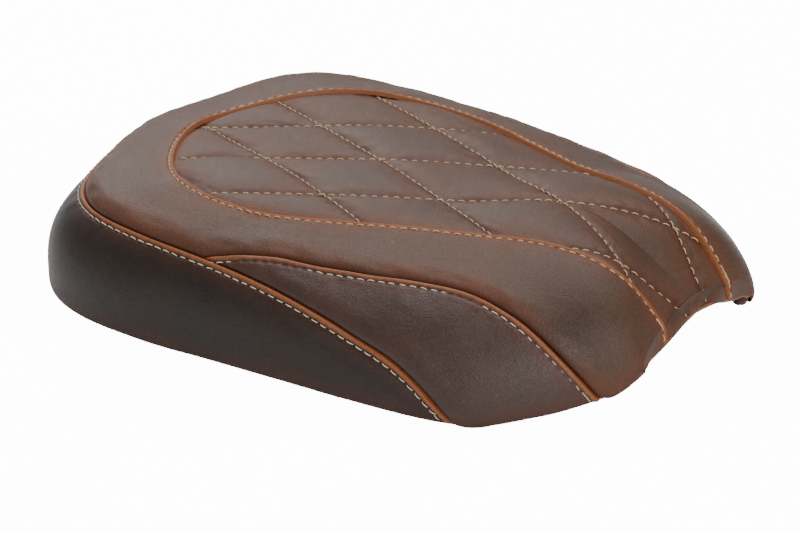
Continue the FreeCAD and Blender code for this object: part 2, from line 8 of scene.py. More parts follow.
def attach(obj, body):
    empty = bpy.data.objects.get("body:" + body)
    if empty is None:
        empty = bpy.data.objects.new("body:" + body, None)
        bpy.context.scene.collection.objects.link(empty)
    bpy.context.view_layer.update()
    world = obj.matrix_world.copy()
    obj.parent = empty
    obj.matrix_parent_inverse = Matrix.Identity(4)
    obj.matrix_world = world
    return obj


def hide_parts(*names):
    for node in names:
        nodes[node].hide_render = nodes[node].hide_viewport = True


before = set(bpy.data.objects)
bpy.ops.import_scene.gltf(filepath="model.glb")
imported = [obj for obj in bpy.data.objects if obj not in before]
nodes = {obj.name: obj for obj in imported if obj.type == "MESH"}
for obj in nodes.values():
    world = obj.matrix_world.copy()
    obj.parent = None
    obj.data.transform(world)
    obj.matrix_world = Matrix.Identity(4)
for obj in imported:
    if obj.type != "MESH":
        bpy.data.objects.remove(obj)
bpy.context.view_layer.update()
MM = 0.001
rng = np.random.default_rng(7)

# --- Camera -----------------------------------------------------------------------------------

BACK = Vector((0.5114, -0.7438, 0.4304)).normalized()
RIGHT = Vector((0.8240, 0.5666, 0.0)).normalized()
TARGET = Vector((0.0063, -0.0099, 0.0210))
CAMERA_DISTANCE, CAMERA_LENS, CAMERA_SENSOR = 2.68, 202.9, 36.0

bpy.ops.object.camera_add(location=TARGET + BACK * CAMERA_DISTANCE)
camera = bpy.context.object
camera.matrix_world = Matrix.Translation(camera.location) @ Matrix(
    (RIGHT, BACK.cross(RIGHT), BACK)).transposed().to_4x4()
camera.data.lens = CAMERA_LENS
camera.data.sensor_width = CAMERA_SENSOR
camera.data.clip_end = 20.0
bpy.context.scene.camera = camera

# --- The cover's surface ----------------------------------------------------------------------
# t runs round the seat: 0 at the rear centre, 1 at the front edge, 2 at the end of the front roll.
# p runs down it: 0 on the centreline, 1 at the widest line, 2 at the bottom edge. Millimetres.

OUTLINE = [(-207.8, 0.0), (-194.8, 72.5), (-149.3, 137.5), (-27.3, 145.5),
           (82.2, 140.0), (147.7, 122.0), (195.0, 78.0), (207.0, 61.0)]
SPINE_REAR, SPINE_FRONT, SPINE_EASE = -121.3, 199.2, 0.52
CROWN = [(-142.8, 72.0), (-74.3, 77.5), (-6.3, 83.5), (62.2, 85.5), (130.7, 86.5), (199.2, 50.0)]
SECTION_WIDE = [4.3, 4.1, 3.2, 2.45]
SECTION_HIGH = [2.85, 3.1, 1.8, 1.95]
WING_START, WING_RISE = 0.70, 27.5
BELT_SHARE, BOTTOM_TUCK = 0.12, 5.5
ROLL_LENGTH, ROLL_START, ROLL_TO, ROLL_PARTS = 10.0, math.radians(32.0), 0.65, 6
ROLL_FADE = (0.20, 0.45)
DROP_GROWS, DROP_FADES = (0.15, 0.40), (0.65, 0.35)
EDGE_DROP, TIP_CURL, CURL_FROM, REAR_SLOPE_TO = 9.0, 1.5, 0.6, 0.4
INSERT_OUTLINE = [(-148.3, 0.0), (-134.3, 42.0), (-100.3, 80.0), (-45.3, 92.5),
                  (12.7, 81.0), (77.7, 58.5), (147.7, 43.5), (222.7, 30.0)]
BAND_SEAM = [(0.0, 57.0), (0.15, 60.0), (0.29, 62.5), (0.39, 60.5), (0.49, 50.5),
             (0.54, 41.5), (0.60, 28.0), (0.665, 0.0)]
GUSSET_SEAM = [(0.40, 59.5), (0.43, 64.5), (0.49, 67.5), (0.60, 69.0), (0.69, 66.0),
               (0.75, 56.5), (0.80, 37.0), (0.847, 14.0)]
BAND_END, GUSSET_START, GUSSET_END = 0.660, 0.405, 0.847
HEM_SHOWS = 1.7
STITCH_PITCH, STITCH_LENGTH, THREAD = 6.4, 5.0, 0.36
DIAMOND_HALF_LENGTH, DIAMOND_HALF_WIDTH, DIAMOND_X = 63.8, 29.0, -14.8
HEM_RISE, HEM_RUN = 13.0, 4.4
INSERT_ROW_AT, BAND_ROW_AT, GUSSET_ROW_AT = 3.2, 4.4, 4.4


def spline(knots):
    """Natural cubic spline through (position, value) knots."""
    at = np.array([k[0] for k in knots], float)
    value = np.array([k[1] for k in knots], float)
    last = len(at) - 1
    step = np.diff(at)
    matrix = np.eye(last + 1)
    target = np.zeros(last + 1)
    slope = np.diff(value) / step
    for i in range(1, last):
        matrix[i, i - 1:i + 2] = step[i - 1], 2 * (step[i - 1] + step[i]), step[i]
        target[i] = 6 * (slope[i] - slope[i - 1])
    bend = np.linalg.solve(matrix, target)

    def curve(x):
        i = np.clip(np.searchsorted(at, x) - 1, 0, last - 1)
        h = step[i]
        a = (at[i + 1] - x) / h
        b = (x - at[i]) / h
        cubic = (a ** 3 - a) * bend[i] + (b ** 3 - b) * bend[i + 1]
        return a * value[i] + b * value[i + 1] + cubic * h * h / 6

    return curve


def half_loop(points):
    """Smooth open loop through points at even steps, mirrored across the centreline."""
    last = len(points) - 1
    steps = range(-last, last + 1)
    along = spline([(i / last, points[abs(i)][0]) for i in steps])
    across = spline([(i / last, math.copysign(points[abs(i)][1], i)) for i in steps])
    return lambda t: (along(t), across(t))


def even(values):
    """Spline through values at even steps from 0 to 1."""
    return spline([(i / (len(values) - 1), v) for i, v in enumerate(values)])


def mirrored(knots):
    return [(-k[0], k[1]) for k in reversed(knots[1:])] + knots


def ease(x):
    x = np.clip(x, 0.0, 1.0)
    return x * x * (3.0 - 2.0 * x)


def mix(a, b, share):
    return a + (b - a) * share


belt = half_loop(OUTLINE)
insert_edge = half_loop(INSERT_OUTLINE)
crown = spline(CROWN)
wide_power = even(SECTION_WIDE)
high_power = even(SECTION_HIGH)
band_seam = spline(mirrored(BAND_SEAM))
gusset_seam = spline(GUSSET_SEAM)


def spine(t):
    """x of the point of the centreline that the section at t starts from."""
    return mix(SPINE_REAR, SPINE_FRONT, t * (1.0 - SPINE_EASE) + SPINE_EASE * t * t)


def bottom(t):
    """Height of the bottom edge, which rises towards the wing tips."""
    return WING_RISE * np.clip((t - WING_START) / (1.0 - WING_START), 0.0, 1.0)


def belt_height(t):
    """Height of the widest line."""
    return mix(bottom(t), crown(spine(t)), BELT_SHARE)


def body(t, p):
    """Points of the left half for 0 <= t <= 1."""
    bx, by = belt(t)
    sx = spine(t)
    side = belt_height(t)
    angle = np.clip(p, 0.0, 1.0) * math.pi / 2
    share = np.sin(angle) ** (2.0 / wide_power(t))
    slope = (crown(sx + 1.0) - crown(sx - 1.0)) / 2.0 * (1.0 - ease(t / REAR_SLOPE_TO))
    top = crown(sx) + slope * (bx - sx) * share
    rise = np.maximum(np.cos(angle), 0.0) ** (2.0 / high_power(t))
    tuck = np.clip(p - 1.0, 0.0, 1.0) * math.pi / 2
    share = share - BOTTOM_TUCK * (1.0 - np.cos(tuck)) / np.hypot(bx - sx, by)
    z = np.where(p <= 1.0, mix(side, top, rise), mix(side, bottom(t), np.sin(tuck)))
    return np.stack([mix(sx, bx, share), by * share, z], -1)


def cover(t, p):
    """Points of the cover's outer face; t or p negative on the rider's right."""
    t, p = np.broadcast_arrays(np.asarray(t, float), np.asarray(p, float))
    side = np.where((t < 0) != (p < 0), -1.0, 1.0)
    t, p = np.abs(t), np.abs(p)
    point = body(np.minimum(t, 1.0), p)
    start = mix(ROLL_START, math.pi / 2, ease(p / ROLL_TO))
    share = np.maximum(t - 1.0, 0.0)
    for i in range(ROLL_PARTS):
        turn = mix(start, math.pi / 2, (share * (i + 0.5) / ROLL_PARTS) ** 1.5)
        length = ROLL_LENGTH * share / ROLL_PARTS * (1.0 - ease((p - ROLL_FADE[0]) / ROLL_FADE[1]))
        point[..., 0] += np.cos(turn) * length
        point[..., 2] -= np.sin(turn) * length
    drop = EDGE_DROP * ease((p - DROP_GROWS[0]) / DROP_GROWS[1])
    drop *= 1.0 - ease((p - DROP_FADES[0]) / DROP_FADES[1])
    point[..., 2] -= drop * np.maximum(t - 1.0, 0.0)
    heading = body(np.array([1.0]), np.array([1.0])) - body(np.array([0.99]), np.array([1.0]))
    heading[0, 2] = 0.0
    heading /= np.linalg.norm(heading)
    curl = TIP_CURL * np.maximum(t - 1.0, 0.0) * ease((p - CURL_FROM) / (1.0 - CURL_FROM))
    point = point + heading[0] * curl[..., None]
    point[..., 1] *= side
    return point


def slopes(t, p):
    """Change of the surface point with t and with p."""
    h = 1e-3
    t = np.where(t < 0, -1.0, 1.0) * np.clip(np.abs(t), 0.008, 2.0 - h)
    p = np.where(p < 0, -1.0, 1.0) * np.clip(np.abs(p), 0.02, 2.0 - h)
    return (cover(t + h, p) - cover(t - h, p)) / (2 * h), (cover(t, p + h) - cover(t, p - h)) / (2 * h)


def normals(t, p):
    t, p = np.broadcast_arrays(np.asarray(t, float), np.asarray(p, float))
    around, down = slopes(t, p)
    normal = np.cross(around, down)
    centre = (t == 0) | (p == 0)
    normal[..., 1] = np.where(centre, 0.0, normal[..., 1])
    return normal / np.linalg.norm(normal, axis=-1, keepdims=True)


def p_at_share(t, share):
    """p of the point at a share of the way from the centreline to the widest line."""
    t = np.minimum(np.abs(t), 1.0)
    return np.arcsin(np.clip(share, 0.0, 1.0) ** (wide_power(t) / 2.0)) * 2 / math.pi


def p_at_height(t, z):
    """p of the point of the side at height z."""
    t = np.minimum(np.abs(t), 1.0)
    side = belt_height(t)
    low, high = np.zeros_like(t), np.ones_like(t)
    for _ in range(30):
        middle = (low + high) / 2
        above = body(t, middle)[..., 2] > z
        low, high = np.where(above, middle, low), np.where(above, high, middle)
    under = 1.0 + np.arcsin(np.clip((side - z) / (side - bottom(t)), 0.0, 1.0)) * 2 / math.pi
    return np.where(z >= side, low, under)


def insert_share(t):
    """Share of the way to the widest line where the quilted insert ends."""
    t = np.minimum(np.abs(t), 1.0)
    bx, by = belt(t)
    sx = spine(t)
    low, high = np.zeros_like(t), np.ones_like(t)
    for _ in range(40):
        middle = (low + high) / 2
        x, y = insert_edge(middle)
        past = (bx - sx) * y - by * (x - sx) < 0.0
        low, high = np.where(past, low, middle), np.where(past, middle, high)
    x, y = insert_edge(low)
    return np.hypot(x - sx, y) / np.hypot(bx - sx, by)


def insert_p(t):
    return p_at_share(t, insert_share(t))


def foot_p(t):
    """Lower edge of the panels, just above the turned hem."""
    t = np.minimum(np.abs(np.asarray(t, float)), 1.0)
    return p_at_height(t, bottom(t) + HEM_SHOWS)


def seam_p(seam, t):
    """p of a seam given by its height along t."""
    t = np.abs(np.asarray(t, float))
    return np.minimum(p_at_height(t, np.maximum(seam(t), bottom(np.minimum(t, 1.0)))), foot_p(t))


def surround_foot(t):
    """p of the surround's lower edge: the band, then the gusset, then the wing's bottom edge."""
    t = np.minimum(np.abs(t), 1.0)
    lower = np.where(t < GUSSET_START, seam_p(band_seam, t), seam_p(gusset_seam, t))
    return np.where(t < GUSSET_END, lower, foot_p(t))


# --- Lines on the cover: seams and the rows of stitching beside them --------------------------

def run_of(points):
    """Distance along a line of points."""
    return np.concatenate([[0.0], np.cumsum(np.linalg.norm(np.diff(points, axis=0), axis=1))])


def beside(t, p, distance):
    """The line (t, p) moved down the cover by a distance."""
    for _ in range(4):
        step = distance / 4
        points = cover(t, p)
        heading = np.gradient(points, axis=0)
        heading /= np.linalg.norm(heading, axis=1, keepdims=True)
        across = np.cross(normals(t, p), heading)
        around, down = slopes(t, p)
        across *= np.sign((across * down).sum(1) * np.sign(p + 1e-9))[:, None]
        jacobian = np.stack([around, down], -1)
        move = np.einsum("nij,nj->ni", np.linalg.pinv(jacobian), across * step)
        t, p = t + move[:, 0], p + move[:, 1]
    return t, p


def places(t, p, pitch):
    """(t, p) at an even pitch along a line."""
    run = run_of(cover(t, p))
    at = np.arange(pitch / 2, run[-1], pitch)
    return np.interp(at, run, t), np.interp(at, run, p)


INSERT_T = np.linspace(-2.0, 2.0, 1601)
INSERT_LINE = (INSERT_T, insert_p(INSERT_T))
BAND_T = np.linspace(-BAND_END, BAND_END, 1601)
BAND_LINE = (BAND_T, seam_p(band_seam, BAND_T))
GUSSET_T = np.linspace(GUSSET_START, GUSSET_END, 801)
GUSSET_LINE = (GUSSET_T, seam_p(gusset_seam, GUSSET_T))
FOOT_T = np.linspace(-1.0, 1.0, 2001)
FOOT_LINE = (FOOT_T, foot_p(FOOT_T))


def tree(points):
    found = KDTree(len(points))
    for i, point in enumerate(points):
        found.insert(point, i)
    found.balance()
    return found


def far_from(points, lines):
    """Distance of each point from the nearest of the lines, each a list of points."""
    finder = tree(np.concatenate(lines))
    return np.array([finder.find(point)[2] for point in points])


def finely(line, sides=(1.0,)):
    """Closely spaced points of a (t, p) line, on one side of the seat or on both."""
    points = cover(*line)
    run = run_of(points)
    at = np.arange(0.0, run[-1], 0.4)
    fine = np.stack([np.interp(at, run, points[:, i]) for i in range(3)], -1)
    return [fine * (1.0, side, 1.0) for side in sides]


INSERT_SEAM = finely(INSERT_LINE)
REAR_SEAM = finely(BAND_LINE)
SIDE_SEAMS = finely(GUSSET_LINE, (1.0, -1.0))
FOOT_EDGE = finely(FOOT_LINE)
REAR_PART = np.abs(BAND_T) <= GUSSET_START
SURROUND_FOOT = SIDE_SEAMS + finely((BAND_T[REAR_PART], BAND_LINE[1][REAR_PART]))
WING_T = np.linspace(GUSSET_END, 1.0, 200)
WING_FOOT = finely((WING_T, foot_p(WING_T)), (1.0, -1.0))

# --- Quilting ---------------------------------------------------------------------------------

CENTRE_X = np.linspace(-152.3, SPINE_FRONT, 703)
CENTRE_RUN = run_of(np.stack([CENTRE_X, crown(CENTRE_X)], -1))
CENTRE_ZERO = np.interp(DIAMOND_X, CENTRE_X, CENTRE_RUN)
ROLL_STITCHED_TO, QUILT_ENDS, SHORTEST_LINE = 1.85, 0.975, 90
LATTICE_STEP = 1.0 / math.hypot(1.0 / DIAMOND_HALF_LENGTH, 1.0 / DIAMOND_HALF_WIDTH)


def lattice(points, t):
    """Distance of insert points from the two families of quilting lines."""
    roll = np.maximum(np.abs(t) - 1.0, 0.0) * ROLL_LENGTH
    along = (np.interp(points[:, 0], CENTRE_X, CENTRE_RUN) + roll - CENTRE_ZERO) / DIAMOND_HALF_LENGTH
    across = points[:, 1] / DIAMOND_HALF_WIDTH
    rows = []
    for family in (along - across, along + across):
        rows.append(np.abs(family - 2.0 * np.round(family / 2.0)) * LATTICE_STEP)
    return rows


def t_at_plan(x, y):
    """t of the section line through plan points, y not negative."""
    low, high = np.zeros_like(x), np.ones_like(x)
    for _ in range(40):
        middle = (low + high) / 2
        bx, by = belt(middle)
        sx = spine(middle)
        past = (bx - sx) * y - by * (x - sx) < 0.0
        low, high = np.where(past, middle, low), np.where(past, high, middle)
    return low


def quilt_line_front(line, slope):
    """The part of a quilting line that goes on over the front roll."""
    t = np.linspace(1.01, ROLL_STITCHED_TO, 60)
    run = CENTRE_RUN[-1] + (t - 1.0) * ROLL_LENGTH - CENTRE_ZERO
    y = slope * (run / DIAMOND_HALF_LENGTH - 2 * line) * DIAMOND_HALF_WIDTH
    share = np.abs(y) / belt(np.array([1.0]))[1]
    inside = share < insert_share(t) * QUILT_ENDS
    p = p_at_share(t, share) * np.where(y < 0, -1.0, 1.0)
    return t[inside], p[inside]


def quilt_lines():
    """The quilting lines as (t, p) lists, cut to the insert."""
    lines = []
    reach = np.linspace(-4.0, 4.0, 1601)
    for slope in (1.0, -1.0):
        for line in range(-8, 9):
            run = CENTRE_ZERO + (2 * line + slope * reach) * DIAMOND_HALF_LENGTH
            x = np.interp(run, CENTRE_RUN, CENTRE_X)
            y = reach * DIAMOND_HALF_WIDTH
            t = t_at_plan(x, np.abs(y))
            bx, by = belt(t)
            sx = spine(t)
            share = np.hypot(x - sx, y) / np.hypot(bx - sx, by)
            inside = (run > 0) & (run < CENTRE_RUN[-1]) & (share < insert_share(t) * QUILT_ENDS)
            p = p_at_share(t, share) * np.where(y < 0, -1.0, 1.0)
            front_t, front_p = quilt_line_front(line, slope)
            t, p = t[inside], p[inside]
            if slope > 0:
                t, p = np.concatenate([t, front_t]), np.concatenate([p, front_p])
            else:
                t, p = np.concatenate([front_t[::-1], t]), np.concatenate([front_p[::-1], p])
            if len(t) > SHORTEST_LINE:
                lines.append((t, p))
    return lines


# --- Heights of the panels over the plain surface ----------------------------------------------

def waves(points, length, seed):
    """Smooth random wave over the points, from -1 to 1, with about the given wavelength."""
    source = np.random.default_rng(seed)
    total = np.zeros(len(points))
    for _ in range(9):
        direction = source.normal(size=3)
        direction *= 2 * math.pi / (length * source.uniform(0.7, 1.5)) / np.linalg.norm(direction)
        total += np.sin(points @ direction + source.uniform(0, 6.28))
    return total / 4.0


def bump(distance, centre, width):
    """Rounded ridge of height 1 along a line."""
    return np.exp(-((distance - centre) / width) ** 2)


def folded_edge(distance, row):
    """A turned edge that stands up over its neighbour, with a row of stitches pulled into it."""
    cut = 3.2 * np.exp(-(distance / 0.6) ** 1.5)
    bead = 0.9 * np.exp(-(distance / 5.5) ** 2)
    return bead - cut - 0.5 * bump(distance, row, 1.2)


def tucked_edge(distance):
    """An edge that dives under the fold beside it, with a full shoulder behind it."""
    dive = 2.6 * np.exp(-distance / 1.1)
    shoulder = 1.1 * bump(distance, 9.0, 8.0)
    return 0.5 - dive + shoulder


# --- Meshes -----------------------------------------------------------------------------------

def make(name, points, faces, marks, smooth=True):
    """Mesh object from millimetre points."""
    mesh = bpy.data.meshes.new(name)
    mesh.from_pydata([tuple(p) for p in (points * MM).tolist()], [], faces)
    for mark, values in marks.items():
        mesh.attributes.new(mark, "FLOAT", "POINT").data.foreach_set("value", values.astype(np.float32))
    mesh.polygons.foreach_set("use_smooth", [smooth] * len(mesh.polygons))
    mesh.update()
    piece = bpy.data.objects.new(name, mesh)
    bpy.context.scene.collection.objects.link(piece)
    return piece


def quads(rows, columns, flip=False):
    """Faces of a grid of points."""
    grid = np.arange(rows * columns).reshape(rows, columns)
    a, b, c, d = grid[:-1, :-1], grid[1:, :-1], grid[1:, 1:], grid[:-1, 1:]
    order = (a, d, c, b) if flip else (a, b, c, d)
    return np.stack([k.ravel() for k in order], -1).tolist()


def column_shares(edge, middle, width):
    """Shares from 0 to 1, close together at both edges of a panel of the given width."""
    close = np.concatenate([np.arange(0, 3.0, 0.33), np.arange(3.0, edge, 0.7)])
    centre = np.linspace(edge, width - edge, middle)
    shares = np.concatenate([close, centre, width - close[::-1]]) / width
    return np.unique(np.round(shares, 6))


def strip(start, end, shares):
    """Grid of (t, p) at given shares of the way from one line of the cover to another."""
    t0, p0 = start
    t1, p1 = end
    k = np.linspace(0.0, 1.0, 121)
    t = mix(t0[:, None], t1[:, None], k)
    p = mix(p0[:, None], p1[:, None], k)
    points = cover(t, p)
    run = np.concatenate([np.zeros((len(t), 1)),
                          np.cumsum(np.linalg.norm(np.diff(points, axis=1), axis=2), axis=1)], 1)
    at = np.array([np.interp(shares * r[-1], r, k) for r in run])
    return mix(t0[:, None], t1[:, None], at), mix(p0[:, None], p1[:, None], at)


def lifted(t, p, height):
    """Surface points moved out along the normal, in one list."""
    return (cover(t, p) + normals(t, p) * height.reshape(t.shape)[..., None]).reshape(-1, 3)


def weld(piece):
    """Joins the two halves of a piece along the line where they meet."""
    bpy.ops.object.select_all(action="DESELECT")
    piece.select_set(True)
    bpy.context.view_layer.objects.active = piece
    bpy.ops.object.mode_set(mode="EDIT")
    bpy.ops.mesh.select_all(action="SELECT")
    bpy.ops.mesh.remove_doubles(threshold=2e-6)
    bpy.ops.object.mode_set(mode="OBJECT")


def stitch_dips(points, holes):
    """How far the leather is pulled in round the ends of the stitches, from 0 to 1."""
    finder = tree(holes)
    near = np.array([finder.find(point)[2] for point in points])
    return np.exp(-near ** 2)


def stitch_row(t, p, lift=0.0):
    """Centres, headings and normals of a row of stitches on the line (t, p)."""
    st, sp = places(t, p, STITCH_PITCH)
    ahead = cover(*[np.interp(np.arange(len(st)) + 0.05, np.arange(len(st)), v) for v in (st, sp)])
    at = cover(st, sp)
    heading = ahead - at
    heading[-1] = at[-1] - at[-2]
    heading /= np.linalg.norm(heading, axis=1, keepdims=True)
    up = normals(st, sp)
    return at + up * lift, heading, up


def both(row):
    """A row of stitches and its mirror image."""
    flip = np.array([1.0, -1.0, 1.0])
    return tuple(np.concatenate([part, part * flip]) for part in row)


def ends(row):
    """Both ends of every stitch of a row."""
    at, heading, _ = row
    half = heading * STITCH_LENGTH / 2
    return np.concatenate([at - half, at + half])


RING = 7
STATIONS = np.array([-1.0, -0.86, -0.5, 0.0, 0.5, 0.86, 1.0])
SAG = np.array([-1.25, -0.55, 0.10, 0.28, 0.10, -0.55, -1.25])
GIRTH = np.array([0.55, 0.9, 1.0, 1.04, 1.0, 0.9, 0.55])


def thread_piece(name, row, node):
    """A row of stitches: short bowed lengths of thread whose ends go into the leather."""
    at, heading, up = row
    count = len(at)
    wander = rng.normal(0.0, 0.05, (count, 3))
    heading = heading + np.cross(up, heading) * rng.normal(0.0, 0.05, (count, 1))
    side = np.cross(up, heading)
    turn = np.arange(RING) * 2 * math.pi / RING
    half = STITCH_LENGTH / 2 * rng.uniform(0.95, 1.03, count)
    centre = at[:, None] + wander[:, None] + heading[:, None] * (half[:, None] * STATIONS)[..., None] \
        + up[:, None] * SAG[None, :, None]
    ring = side[:, None, None] * np.cos(turn)[None, None, :, None] \
        + up[:, None, None] * 0.85 * np.sin(turn)[None, None, :, None]
    points = centre[:, :, None] + ring * (THREAD * GIRTH)[None, :, None, None]
    per = len(STATIONS) * RING
    faces = []
    for n in range(count):
        base = n * per
        for s in range(len(STATIONS) - 1):
            for r in range(RING):
                a = base + s * RING + r
                b = base + s * RING + (r + 1) % RING
                faces.append((a, b, b + RING, a + RING))
        faces.append(tuple(base + r for r in reversed(range(RING))))
        faces.append(tuple(base + per - RING + r for r in range(RING)))
    along = np.broadcast_to((STATIONS * STITCH_LENGTH / 2)[None, :, None], (count, len(STATIONS), RING))
    turned = np.broadcast_to(turn[None, None, :], (count, len(STATIONS), RING))
    piece = make(name, points.reshape(-1, 3), faces, {"along": along.ravel(), "turn": turned.ravel()})
    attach(piece, "root")
    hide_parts(*node)
    return piece


QUILT_LIFT, INSERT_LIFT, SIDE_LIFT = -1.28, 0.5, 0.35
quilt_rows = [stitch_row(t, p, QUILT_LIFT) for t, p in quilt_lines()]
QUILT_ROW = tuple(np.concatenate(parts) for parts in zip(*quilt_rows))
near_edge = np.abs(INSERT_T) < 1.93
INSERT_ROW = stitch_row(*beside(INSERT_T[near_edge], INSERT_LINE[1][near_edge], INSERT_ROW_AT), INSERT_LIFT)
inner_t = np.abs(BAND_T) < BAND_END - 0.008
BAND_ROW = stitch_row(*beside(BAND_T[inner_t], BAND_LINE[1][inner_t], BAND_ROW_AT), SIDE_LIFT)
inner_t = GUSSET_T < GUSSET_END - 0.004
gusset_line = beside(GUSSET_T[inner_t], GUSSET_LINE[1][inner_t], GUSSET_ROW_AT)
GUSSET_ROW = both(stitch_row(*gusset_line, SIDE_LIFT))

# --- Leather panels ---------------------------------------------------------------------------

DENSE = 1.0


def count(n):
    return int(n * DENSE) + 1


INSERT_TUCK = 1.022
PUFF_FOOT, PUFF_HEIGHT, PUFF_WIDTH = -1.3, 3.2, 6.5
GROOVE_DEPTH, GROOVE_WIDTH = 0.35, 1.1


def quilted_insert():
    """Puffed diamonds between the rows of quilting."""
    ts = np.concatenate([np.linspace(0.0, 1.0, count(400)), np.linspace(1.0, 2.0, count(14))[1:]])
    edge = p_at_share(ts, insert_share(ts) * INSERT_TUCK)
    middle, border = np.linspace(0.0, 0.9, count(86)), np.linspace(0.9, 1.0, count(20))
    shares = np.unique(np.concatenate([middle, border]))
    t, p = strip((ts, np.zeros_like(ts)), (ts, edge), shares)
    flat = cover(t, p).reshape(-1, 3)
    rim = far_from(flat, INSERT_SEAM)
    parts = []
    for side in (1.0, -1.0):
        points = flat * (1.0, side, 1.0)
        first, second = lattice(points, t.ravel())
        soft = (1.0 - np.exp(-first / PUFF_WIDTH)) * (1.0 - np.exp(-second / PUFF_WIDTH))
        puff = PUFF_FOOT + PUFF_HEIGHT * soft * (1.0 - 0.8 * np.exp(-rim / 6.0))
        groove = -GROOVE_DEPTH * (bump(first, 0.0, GROOVE_WIDTH) + bump(second, 0.0, GROOVE_WIDTH))
        dips = stitch_dips(points, ends(QUILT_ROW))
        line = np.minimum(first, second)
        pucker = 0.30 * waves(points, 9.0, 3) * np.exp(-((line - 3.5) / 3.5) ** 2)
        rolling = 0.35 * waves(points, 55.0, 4) + pucker - 0.7 * dips
        height = puff + groove + rolling - 0.3 * np.exp(-rim / 2.5)
        parts.append((points, height, dips, line))
    out = normals(t, p).reshape(-1, 3)
    left = parts[0][0] + out * parts[0][1][:, None]
    right = parts[1][0] + out * (1.0, -1.0, 1.0) * parts[1][1][:, None]
    rows, columns = t.shape
    faces = quads(rows, columns) + [[k + rows * columns for k in f] for f in quads(rows, columns, True)]
    marks = {"hole_shade": np.concatenate([q[2] for q in parts]), "seam": np.concatenate([rim, rim]),
             "line": np.concatenate([q[3] for q in parts])}
    piece = make("Quilted_insert", np.concatenate([left, right]), faces, marks)
    weld(piece)
    return piece


REAR_SHOULDER, REAR_SHOULDER_TO, REAR_SHOULDER_FADE = 1.6, 0.44, 0.20
# Painted shade: a round patch on each wing of the surround is coloured darker where the leather reflects
# little light, and is given a lower roughness.
SHADE_PATCH_X, SHADE_PATCH_Y, SHADE_PATCH_Z, SHADE_PATCH_RADIUS = 175.0, 80.0, 54.0, 24.0


def top_surround():
    """One piece of leather round the insert, down to the seams of the sides."""
    wing = np.linspace(1.0, 2.0, count(14))[1:]
    ts = np.concatenate([-wing[::-1], np.linspace(-1.0, 1.0, count(620)), wing])
    shares = column_shares(9.0, count(46), 68.0)
    t, p = strip((ts, insert_p(ts)), (ts, surround_foot(ts)), shares)
    flat = cover(t, p).reshape(-1, 3)
    rim = far_from(flat, INSERT_SEAM)
    low = far_from(flat, SURROUND_FOOT)
    wing_low = far_from(flat, WING_FOOT)
    dips = stitch_dips(flat, ends(INSERT_ROW))
    crease = 0.35 * waves(flat, 12.0, 11) * bump(low, 6.0, 6.0)
    height = folded_edge(rim, INSERT_ROW_AT) + tucked_edge(low) + 0.5 * waves(flat, 60.0, 5) + crease
    height += 0.22 * waves(flat, 16.0, 12) * bump(rim, 7.0, 5.0) - 0.7 * dips
    height -= 0.8 * np.exp(-wing_low / 1.2)
    rear = ease((REAR_SHOULDER_TO - np.abs(t)) / REAR_SHOULDER_FADE).ravel()
    height += REAR_SHOULDER * rear * bump(low, 10.0, 9.0)
    # Distances to the centres of the painted shade patches; their mark darkens the colour and lowers the
    # roughness.
    shade_patch_distance = [np.linalg.norm(flat - (SHADE_PATCH_X, side * SHADE_PATCH_Y, SHADE_PATCH_Z), axis=1) for side in (1.0, -1.0)]
    marks = {"hole_shade": dips, "seam": rim, "line": np.minimum(low, wing_low),
             "shade_and_gloss": bump(np.minimum(*shade_patch_distance), 0.0, SHADE_PATCH_RADIUS)}
    return make("Top_surround", lifted(t, p, height), quads(*t.shape), marks)


def side_height(flat, edge, foot, holes, seed):
    """Heights and marks of a side panel: folded at its upper edge, turned under at its foot."""
    dips = stitch_dips(flat, holes)
    height = folded_edge(edge, BAND_ROW_AT) - 0.65 * dips + 0.5 * waves(flat, 50.0, seed)
    height += 0.25 * waves(flat, 14.0, seed + 1) * bump(edge, 8.0, 6.0)
    height -= 0.5 * np.exp(-foot / 1.3)
    return height, {"hole_shade": dips, "seam": edge, "line": foot}


def rear_band():
    """The dark band round the back and along both sides."""
    ts = np.linspace(-BAND_END, BAND_END, count(620))
    shares = column_shares(9.0, count(40), 62.0)
    low = foot_p(ts)
    t, p = strip((ts, np.minimum(seam_p(band_seam, ts), low - 0.02)), (ts, low), shares)
    flat = cover(t, p).reshape(-1, 3)
    edge = far_from(flat, REAR_SEAM)
    foot = far_from(flat, FOOT_EDGE)
    height, marks = side_height(flat, edge, foot, ends(BAND_ROW), 21)
    return make("Rear_band", lifted(t, p, height), quads(*t.shape), marks)


def gusset(name, side):
    """The curved side panel under the front of the seat."""
    k = np.linspace(0.0, 1.0, count(300)) ** 1.1
    low_t = mix(GUSSET_START, BAND_END + 0.003, k)
    high_t = mix(GUSSET_START, GUSSET_END, k)
    shares = column_shares(9.0, count(44), 62.0)
    t, p = strip((high_t, seam_p(gusset_seam, high_t)), (low_t, seam_p(band_seam, low_t)), shares)
    flat = cover(t, p).reshape(-1, 3)
    edge = far_from(flat, SIDE_SEAMS[:1])
    low = far_from(flat, REAR_SEAM)
    foot = far_from(flat, FOOT_EDGE)
    height, marks = side_height(flat, edge, foot, ends(GUSSET_ROW), 31)
    height += tucked_edge(low)
    tip = np.linalg.norm(flat - flat[0], axis=1)
    wrinkles = 0.7 * waves(flat * (0.35, 1.0, 1.0), 10.0, 33) * np.exp(-tip / 45.0)
    height += wrinkles * (1 - np.exp(-low / 3.0))
    points = lifted(t, p, height) * (1.0, side, 1.0)
    return make(name, points, quads(*t.shape, side < 0), marks)


